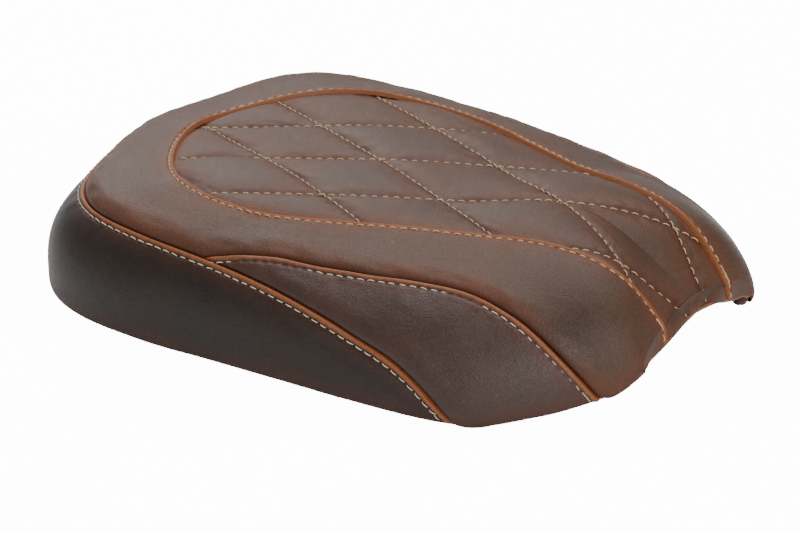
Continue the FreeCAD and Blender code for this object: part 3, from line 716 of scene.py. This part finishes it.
def hem():
    """The bottom edge: the leather turned under the rim of the pan and up its inside."""
    ts = np.linspace(-0.992, 0.992, count(520))
    profile = [(-0.6, 3.4), (-1.0, 2.4), (-1.05, 1.4), (-0.5, 0.5), (0.6, 0.0), (2.2, 0.0),
               (HEM_RUN - 0.8, 0.0), (HEM_RUN, 0.4), (HEM_RUN + 0.4, 1.4), (HEM_RUN + 0.4, 5.0),
               (HEM_RUN + 0.4, 9.0), (HEM_RUN + 0.4, HEM_RISE), (HEM_RUN + 0.1, HEM_RISE + 0.3),
               (HEM_RUN - 1.1, HEM_RISE), (HEM_RUN - 1.1, 4.0), (HEM_RUN - 2.0, 2.0), (1.0, 2.0),
               (-0.3, 3.0)]
    foot = cover(ts, np.full_like(ts, 2.0))
    heading = np.gradient(foot, axis=0)
    heading[:, 2] = 0.0
    heading /= np.linalg.norm(heading, axis=1, keepdims=True)
    inward = np.stack([heading[:, 1], -heading[:, 0], np.zeros(len(ts))], -1)
    middle = np.argmin(np.abs(ts))
    if inward[middle, 0] < 0:
        inward = -inward
    level = bottom(np.abs(ts))
    fade = 1.0 + 0.05 * waves(foot, 30.0, 41)
    up = np.array([0.0, 0.0, 1.0])
    points = np.stack([foot + inward * (a * fade)[:, None] + up * (level - foot[:, 2] + z)[:, None]
                       for a, z in profile], 1)
    rows, columns = points.shape[:2]
    faces = quads(rows, columns, True)
    for i in range(rows - 1):
        a = i * columns
        faces.append([a + columns - 1, a, a + columns, a + 2 * columns - 1])
    faces.append(list(range(columns)))
    faces.append(list(reversed(range((rows - 1) * columns, rows * columns))))
    inset = np.tile([a for a, _ in profile], rows)
    return make("Hem_edge", points.reshape(-1, 3), faces, {"inset": inset})


def front_hem():
    """The front edge of the cover: turned under and up against the foam."""
    foot = float(foot_p(np.array([1.0]))[0])
    ps = np.linspace(-foot, foot, count(260))
    front = np.full_like(ps, 2.0)
    edge_line = cover(front, ps)
    out = normals(front, ps)
    profile = [(0.1, -1.0), (0.35, 0.2), (0.1, 1.0), (-0.7, 1.5), (-1.8, 1.5), (-2.5, 0.8), (-2.8, -0.4),
               (-3.0, -4.0), (-3.4, -9.0), (-2.2, -9.4), (-1.8, -4.0), (-1.2, -1.0)]
    down = np.array([0.0, 0.0, -1.0])
    fade = ease((foot - np.abs(ps)) / 0.6)
    depths = [d + 0.0 * fade if d > 0 else d * (0.3 + 0.7 * fade) for _, d in profile]
    points = np.stack([edge_line + out * a + down * depth[:, None]
                       for (a, _), depth in zip(profile, depths)], 1)
    rows, columns = points.shape[:2]
    faces = quads(rows, columns)
    for i in range(rows - 1):
        a = i * columns
        faces.append([a, a + columns - 1, a + 2 * columns - 1, a + columns])
    faces.append(list(reversed(range(columns))))
    faces.append(list(range((rows - 1) * columns, rows * columns)))
    inset = np.tile([-a for a, _ in profile], rows)
    return make("Front_hem", points.reshape(-1, 3), faces, {"inset": inset})


# --- Materials --------------------------------------------------------------------------------

class Net:
    """Builds a node tree step by step."""

    def __init__(self, tree):
        self.tree = tree

    def put(self, node, socket, value):
        target = node.inputs[socket]
        if hasattr(value, "default_value") or hasattr(value, "is_output"):
            self.tree.links.new(value, target)
        else:
            target.default_value = value

    def math(self, operation, a, b=0.0, c=0.0):
        node = self.tree.nodes.new("ShaderNodeMath")
        node.operation = operation
        for i, value in enumerate((a, b, c)):
            self.put(node, i, value)
        return node.outputs[0]

    def spread(self, value, low, high, to_low=0.0, to_high=1.0, smooth=True):
        node = self.tree.nodes.new("ShaderNodeMapRange")
        node.interpolation_type = "SMOOTHSTEP" if smooth else "LINEAR"
        for i, v in enumerate((value, low, high, to_low, to_high)):
            self.put(node, i, v)
        return node.outputs[0]

    def noise(self, vector, scale, detail=3.0, rough=0.5):
        node = self.tree.nodes.new("ShaderNodeTexNoise")
        self.put(node, "Vector", vector)
        self.put(node, "Scale", scale)
        self.put(node, "Detail", detail)
        self.put(node, "Roughness", rough)
        return node.outputs["Fac"]

    def cells(self, vector, scale, feature="DISTANCE_TO_EDGE"):
        node = self.tree.nodes.new("ShaderNodeTexVoronoi")
        node.feature = feature
        self.put(node, "Vector", vector)
        self.put(node, "Scale", scale)
        return node.outputs["Distance"]

    def blend(self, factor, a, b, kind="MIX"):
        node = self.tree.nodes.new("ShaderNodeMix")
        node.data_type = "RGBA"
        node.blend_type = kind
        node.clamp_factor = True
        self.put(node, 0, factor)
        self.put(node, 6, a)
        self.put(node, 7, b)
        return node.outputs[2]


def group(name, inputs, outputs):
    """An empty node group with the given sockets."""
    tree = bpy.data.node_groups.new(name, "ShaderNodeTree")
    for label, kind in inputs:
        tree.interface.new_socket(label, in_out="INPUT", socket_type=kind)
    for label, kind in outputs:
        tree.interface.new_socket(label, in_out="OUTPUT", socket_type=kind)
    enter = tree.nodes.new("NodeGroupInput")
    leave = tree.nodes.new("NodeGroupOutput")
    return tree, Net(tree), enter, leave


def leather_grain():
    """Fine pebbled grain with pores."""
    inputs = [("Vector", "NodeSocketVector"), ("Scale", "NodeSocketFloat")]
    tree, net, enter, leave = group("Leather grain", inputs, [("Height", "NodeSocketFloat")])
    vector, scale = enter.outputs[0], enter.outputs[1]
    pebbles = net.spread(net.cells(vector, scale), 0.0, 0.35)
    coarse = net.spread(net.cells(vector, net.math("MULTIPLY", scale, 0.37)), 0.0, 0.25)
    fine = net.noise(vector, net.math("MULTIPLY", scale, 2.3), 2.0, 0.6)
    total = net.math("MULTIPLY_ADD", coarse, 0.45, net.math("MULTIPLY_ADD", fine, 0.35, pebbles))
    net.put(leave, 0, total)
    return tree


def leather_mottle():
    """Uneven, pulled-up tone of oiled leather: broad cloud and fine speckle."""
    outputs = [(label, "NodeSocketFloat") for label in ("Broad", "Fine", "Scuff")]
    tree, net, enter, leave = group("Leather mottle", [("Vector", "NodeSocketVector")], outputs)
    vector = enter.outputs[0]
    net.put(leave, 0, net.spread(net.noise(vector, 16.0, 4.0, 0.6), 0.3, 0.72))
    net.put(leave, 1, net.spread(net.noise(vector, 420.0, 3.0, 0.65), 0.3, 0.75))
    streak = net.noise(vector, 75.0, 6.0, 0.75)
    net.put(leave, 2, net.spread(streak, 0.55, 0.74))
    return tree


def twisted_thread():
    """Twist of a waxed thread, along and round each stitch."""
    inputs = [("Along", "NodeSocketFloat"), ("Turn", "NodeSocketFloat")]
    tree, net, enter, leave = group("Thread twist", inputs, [("Height", "NodeSocketFloat")])
    phase = net.math("MULTIPLY_ADD", enter.outputs[0], 5.2, net.math("MULTIPLY", enter.outputs[1], 3.0))
    net.put(leave, 0, net.math("MULTIPLY_ADD", net.math("SINE", phase), 0.5, 0.5))
    return tree


GRAIN = leather_grain()
MOTTLE = leather_mottle()
TWIST = twisted_thread()


def start_material(name):
    """A new material: itself, its net, its shader and its object coordinates."""
    material = bpy.data.materials.new(name)
    material.use_nodes = True
    tree = material.node_tree
    shader = tree.nodes["Principled BSDF"]
    net = Net(tree)
    vector = tree.nodes.new("ShaderNodeTexCoord").outputs["Object"]
    return material, net, shader, vector


def use(net, tree, *values):
    """A node group placed in a material."""
    node = net.tree.nodes.new("ShaderNodeGroup")
    node.node_tree = tree
    for i, value in enumerate(values):
        net.put(node, i, value)
    return node


def mark(net, name):
    """A value stored on the mesh."""
    node = net.tree.nodes.new("ShaderNodeAttribute")
    node.attribute_name = name
    return node.outputs["Fac"]


def relief(net, height, strength, distance, below=None):
    """Bump, on top of another one if given."""
    node = net.tree.nodes.new("ShaderNodeBump")
    net.put(node, "Strength", strength)
    net.put(node, "Distance", distance)
    net.put(node, "Height", height)
    if below is not None:
        net.put(node, "Normal", below)
    return node.outputs["Normal"]


def rgb(r, g, b):
    """Linear colour from 0 to 255 screen values."""
    values = [((v / 255 + 0.055) / 1.055) ** 2.4 if v > 10 else v / 255 / 12.92 for v in (r, g, b)]
    return tuple(values) + (1.0,)


def scaled(colour, factor):
    """A darker or lighter colour, no lighter than white."""
    return tuple(min(1.0, c * factor) for c in colour[:3]) + (1.0,)


def leather(name, dark, mid, light, fold, rust, fold_width, grain, rough, gloss, line_shade=0.0):
    """Oiled leather, rusty beside its seams, with folded edges worn to a lighter colour, and with painted
    shade along its line mark (line_shade), in the stitch dips and on a patch of each wing.

    fold_width gives where the worn colour starts to fade and ends, and its strength.
    """
    material, net, shader, vector = start_material(name)
    mottle = use(net, MOTTLE, vector)
    grain_height = use(net, GRAIN, vector, grain).outputs[0]
    base = net.blend(mottle.outputs[0], dark, mid)
    base = net.blend(net.math("MULTIPLY", mottle.outputs[1], 0.15), base, light)
    base = net.blend(net.math("MULTIPLY", mottle.outputs[2], 0.2), base, light)
    seam = mark(net, "seam")
    hollow = net.spread(net.math("MINIMUM", seam, mark(net, "line")), 1.0, 16.0, 0.8, 0.0)
    cloud = net.spread(net.noise(vector, 30.0, 4.0, 0.6), 0.25, 0.75, 0.35, 1.0)
    base = net.blend(net.math("MULTIPLY", hollow, cloud), base, rust)
    uneven = net.math("MULTIPLY_ADD", net.noise(vector, 240.0, 4.0, 0.7), 3.0, -1.5)
    edge = net.spread(net.math("ADD", seam, uneven), fold_width[0], fold_width[1], 1.0, 0.0)
    base = net.blend(net.math("MULTIPLY", edge, fold_width[2]), base, fold)
    # Painted shade: darker within 7 mm of the line mark, that is in the quilting grooves and along the
    # surround's lower seams and bottom edge, where it tucks under.
    if line_shade:
        line = net.spread(mark(net, "line"), 0.4, 7.0, line_shade, 0.0)
        base = net.blend(line, base, scaled(dark, 0.35))
    # Painted shade: the patch on each wing is darkened towards the dark colour.
    shade_and_gloss = mark(net, "shade_and_gloss")
    base = net.blend(net.math("MULTIPLY", shade_and_gloss, 0.7), base, scaled(dark, 0.45))
    # Painted shade in the dips where the stitches pull the leather in.
    hole_shade = net.math("MULTIPLY", net.spread(mark(net, "hole_shade"), 0.25, 1.0), 0.75)
    base = net.blend(hole_shade, base, scaled(dark, 0.25))
    pores = net.spread(grain_height, 0.25, 1.2, 0.80, 1.06)
    tone = net.tree.nodes.new("ShaderNodeCombineColor")
    for i in range(3):
        net.put(tone, i, pores)
    base = net.blend(1.0, base, tone.outputs[0], "MULTIPLY")
    net.put(shader, "Base Color", base)
    wear = net.math("MULTIPLY_ADD", mottle.outputs[0], rough[1] - rough[0], rough[0])
    # The same patch gets a lower roughness.
    wear = net.math("MULTIPLY_ADD", shade_and_gloss, -0.12, wear)
    net.put(shader, "Roughness", net.math("MULTIPLY_ADD", mottle.outputs[1], 0.08, wear))
    shader.inputs["Specular IOR Level"].default_value = gloss
    first = relief(net, net.noise(vector, 120.0, 5.0, 0.65), 0.35, 0.0007)
    net.put(shader, "Normal", relief(net, grain_height, 0.35, 0.00028, first))
    return material


def thread_material(name, dark, light):
    """Twisted waxed thread."""
    material, net, shader, vector = start_material(name)
    height = use(net, TWIST, mark(net, "along"), mark(net, "turn")).outputs[0]
    fluff = net.noise(vector, 1400.0, 3.0, 0.7)
    # Painted shade along the twist: its grooves take the darker colour, and the fluff noise adds random
    # tone.
    tone = net.math("MULTIPLY_ADD", height, 0.55, net.math("MULTIPLY", fluff, 0.45))
    uneven = net.noise(vector, 60.0, 2.0, 0.5)
    base = net.blend(net.spread(tone, 0.15, 0.8), dark, light)
    base = net.blend(net.spread(uneven, 0.45, 0.75, 0.0, 0.4), base, dark)
    net.put(shader, "Base Color", base)
    net.put(shader, "Roughness", net.spread(fluff, 0.2, 0.8, 0.55, 0.8))
    net.put(shader, "Normal", relief(net, height, 0.6, 0.00015))
    return material


def hem_material():
    """Burnished outer edge, raw suede side inside the pan."""
    material, net, shader, vector = start_material("Hem leather")
    outside = net.spread(mark(net, "inset"), -0.2, 1.6, 0.0, 1.0)
    cloud = net.noise(vector, 60.0, 5.0, 0.7)
    burnished = net.blend(net.spread(cloud, 0.3, 0.7), rgb(112, 58, 30), rgb(158, 94, 52))
    raw = net.blend(net.spread(cloud, 0.3, 0.7), rgb(66, 46, 34), rgb(90, 66, 50))
    net.put(shader, "Base Color", net.blend(outside, burnished, raw))
    net.put(shader, "Roughness", net.spread(outside, 0.0, 1.0, 0.48, 0.85))
    fuzz = net.noise(vector, 1100.0, 4.0, 0.7)
    net.put(shader, "Normal", relief(net, fuzz, 0.4, 0.0003))
    return material


def moulded(name, dark, light, scale, depth, rough, metal=0.0):
    """Moulded or cast surface with a fine grain and slight uneven tone."""
    material, net, shader, vector = start_material(name)
    fine = net.noise(vector, scale, 4.0, 0.65)
    broad = net.noise(vector, 25.0, 3.0, 0.55)
    base = net.blend(net.spread(broad, 0.3, 0.7), dark, light)
    base = net.blend(net.spread(fine, 0.62, 0.85, 0.0, 0.25), base, scaled(light, 1.6))
    net.put(shader, "Base Color", base)
    net.put(shader, "Roughness", net.spread(broad, 0.25, 0.75, rough[0], rough[1]))
    shader.inputs["Metallic"].default_value = metal
    net.put(shader, "Normal", relief(net, fine, 0.5, depth))
    return material


def dress(piece, material):
    """Gives a piece one material."""
    piece.data.materials.clear()
    piece.data.materials.append(material)


TOP = leather("Top leather", rgb(66, 40, 24), rgb(84, 53, 33), rgb(108, 74, 50), fold=rgb(142, 84, 46),
              rust=rgb(104, 52, 24), fold_width=(2.0, 4.8, 0.9), grain=900.0, rough=(0.40, 0.50),
              gloss=0.42, line_shade=0.35)
QUILTED = leather("Quilted leather", rgb(68, 41, 25), rgb(86, 54, 34), rgb(108, 74, 50),
                  fold=rgb(112, 58, 28), rust=rgb(98, 52, 28), fold_width=(1.0, 5.0, 0.6), grain=900.0,
                  rough=(0.40, 0.50), gloss=0.42, line_shade=0.3)
BAND = leather("Band leather", rgb(24, 12, 5), rgb(38, 20, 9), rgb(58, 33, 17), fold=rgb(142, 80, 42),
               rust=rgb(72, 34, 14), fold_width=(1.8, 4.0, 0.97), grain=1000.0, rough=(0.34, 0.44),
               gloss=0.42)
GUSSET = leather("Gusset leather", rgb(50, 28, 20), rgb(64, 38, 29), rgb(84, 54, 43), fold=rgb(142, 80, 42),
                 rust=rgb(84, 40, 20), fold_width=(1.8, 4.0, 0.97), grain=1000.0, rough=(0.32, 0.42),
                 gloss=0.5)
TAN = thread_material("Tan thread", rgb(176, 130, 84), rgb(240, 206, 158))
GREY = thread_material("Grey thread", rgb(168, 148, 122), rgb(232, 216, 190))

for maker, material, node in ((quilted_insert, QUILTED, "quilted_insert"),
                              (top_surround, TOP, "top_surround"),
                              (rear_band, BAND, "rear_band")):
    panel = maker()
    dress(panel, material)
    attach(panel, "root")
    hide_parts(node)
for label, side in (("left", 1.0), ("right", -1.0)):
    panel = gusset("Gusset_" + label, side)
    dress(panel, GUSSET)
    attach(panel, "root")
    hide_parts("gusset_" + label)
edge = hem()
dress(edge, hem_material())
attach(edge, "root")
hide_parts("hem_binding")
turned = front_hem()
dress(turned, edge.data.materials[0])
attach(turned, "root")
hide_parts("hem_binding")

dress(thread_piece("Quilting_thread", QUILT_ROW, ["quilting_thread"]), TAN)
dress(thread_piece("Insert_topstitch", INSERT_ROW, ["insert_topstitch"]), TAN)
dress(thread_piece("Band_topstitch", BAND_ROW, ["band_topstitch"]), GREY)
dress(thread_piece("Gusset_topstitch", GUSSET_ROW,
                   ["gusset_topstitch_left", "gusset_topstitch_right"]), GREY)

# --- Hard pieces and hidden foam ---------------------------------------------------------------

PLASTIC = moulded("Pan plastic", rgb(58, 58, 60), rgb(84, 84, 86), 1500.0, 0.0003, (0.5, 0.65))
RUBBER = moulded("Bumper rubber", rgb(26, 26, 26), rgb(44, 43, 42), 900.0, 0.0002, (0.75, 0.9))
POWDER = moulded("Bracket coat", rgb(24, 24, 25), rgb(40, 40, 42), 1800.0, 0.0002, (0.4, 0.55))
BRASS = moulded("Insert brass", rgb(176, 142, 80), rgb(206, 174, 108), 700.0, 0.00005, (0.28, 0.4), 1.0)
STEEL = moulded("Staple steel", rgb(160, 160, 162), rgb(196, 196, 198), 900.0, 0.00005, (0.3, 0.42), 1.0)
ALUMINIUM = moulded("Rivet aluminium", rgb(182, 182, 184), rgb(214, 214, 216), 900.0, 0.00005,
                    (0.32, 0.45), 1.0)
FOAM = moulded("Seat foam", rgb(52, 52, 56), rgb(78, 78, 82), 1100.0, 0.0009, (0.85, 0.95))
BACKING = moulded("Backing foam", rgb(206, 200, 182), rgb(226, 222, 206), 1100.0, 0.0009, (0.85, 0.95))

for name, node in nodes.items():
    for words, material in (("base_pan", PLASTIC), ("bumper", RUBBER), ("front_keeper", POWDER),
                            ("threaded_insert", BRASS), ("staples", STEEL), ("rivets", ALUMINIUM)):
        if words in name:
            dress(node, material)


CLOTH_PRESSURE, CLOTH_QUALITY, CLOTH_FRAMES = 4.0, 4, 20


def settle(name, node_name, material, voxel, slack, cap):
    """Foam copied from its plain solid, drawn in a little and swelled under a light pressure."""
    source = nodes[node_name]
    piece = source.copy()
    piece.data = source.data.copy()
    piece.name = name
    bpy.context.scene.collection.objects.link(piece)
    dress(piece, material)
    weld(piece)
    for kind, settings in (("REMESH", {"mode": "VOXEL", "voxel_size": voxel}),
                           ("DISPLACE", {"strength": -slack, "mid_level": 0.0})):
        modifier = piece.modifiers.new(kind.title(), kind)
        for key, value in settings.items():
            setattr(modifier, key, value)
        bpy.ops.object.modifier_apply(modifier=modifier.name)
    points_in = len(piece.data.vertices)
    rest = np.empty(points_in * 3)
    piece.data.vertices.foreach_get("co", rest)
    rest = rest.reshape(-1, 3)
    cloth = piece.modifiers.new("Cloth", "CLOTH")
    cloth.settings.use_pressure = True
    cloth.settings.uniform_pressure_force = CLOTH_PRESSURE
    cloth.settings.effector_weights.gravity = 0.0
    cloth.settings.quality = CLOTH_QUALITY
    cloth.point_cache.frame_end = CLOTH_FRAMES
    for step in range(1, CLOTH_FRAMES + 1):
        bpy.context.scene.frame_set(step)
    shaped = piece.evaluated_get(bpy.context.evaluated_depsgraph_get())
    swelled = np.empty(points_in * 3)
    shaped.data.vertices.foreach_get("co", swelled)
    move = swelled.reshape(-1, 3) - rest
    length = np.linalg.norm(move, axis=1, keepdims=True)
    move *= np.minimum(1.0, cap / np.maximum(length, 1e-9))
    piece.modifiers.remove(cloth)
    bpy.context.scene.frame_set(1)
    piece.data.vertices.foreach_set("co", (rest + move).ravel())
    piece.data.update()
    piece.data.polygons.foreach_set("use_smooth", [True] * len(piece.data.polygons))
    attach(piece, "root")
    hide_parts(node_name)


settle("Foam_cushion", "foam_cushion", FOAM, 0.0045, 0.0012, 0.0009)
settle("Quilt_backing", "quilt_backing", BACKING, 0.0016, 0.0006, 0.0004)

# --- Room -------------------------------------------------------------------------------------

FLOOR_SIZE, FLOOR_GAP, FLOOR_GLOW, SKY = 8.0, 0.0003, 14.0, 0.45

bpy.ops.mesh.primitive_plane_add(size=FLOOR_SIZE, location=(0.0, 0.0, -FLOOR_GAP))
floor = bpy.context.object
floor.name = "Studio_floor"
paper, net, shader, vector = start_material("Studio paper")
tint = net.blend(net.noise(vector, 3.0, 2.0, 0.5), (0.92, 0.92, 0.92, 1.0), (0.95, 0.95, 0.95, 1.0))
net.put(shader, "Base Color", tint)
shader.inputs["Roughness"].default_value = 0.9
seen = paper.node_tree.nodes.new("ShaderNodeLightPath").outputs["Is Camera Ray"]
net.put(shader, "Emission Color", tint)
net.put(shader, "Emission Strength", net.math("MULTIPLY", seen, FLOOR_GLOW))
dress(floor, paper)

world = bpy.data.worlds.new("Studio")
world.use_nodes = True
world.node_tree.nodes["Background"].inputs[0].default_value = (1.0, 1.0, 1.0, 1.0)
world.node_tree.nodes["Background"].inputs[1].default_value = SKY
bpy.context.scene.world = world


def softbox(name, place, size, power):
    """A square light aimed at the seat."""
    lamp = bpy.data.lights.new(name, "AREA")
    lamp.shape = "RECTANGLE"
    lamp.size, lamp.size_y = size
    lamp.energy = power
    light = bpy.data.objects.new(name, lamp)
    light.location = place
    light.rotation_euler = (Vector((0, 0, 0.04)) - Vector(place)).to_track_quat("-Z", "Y").to_euler()
    bpy.context.scene.collection.objects.link(light)


softbox("Overhead", (-0.2, 0.3, 1.6), (1.6, 1.2), 22.0)
softbox("Front", (1.35, -1.15, 0.85), (0.9, 0.7), 17.0)
softbox("Rear", (-1.2, 0.9, 0.8), (0.8, 0.6), 6.0)
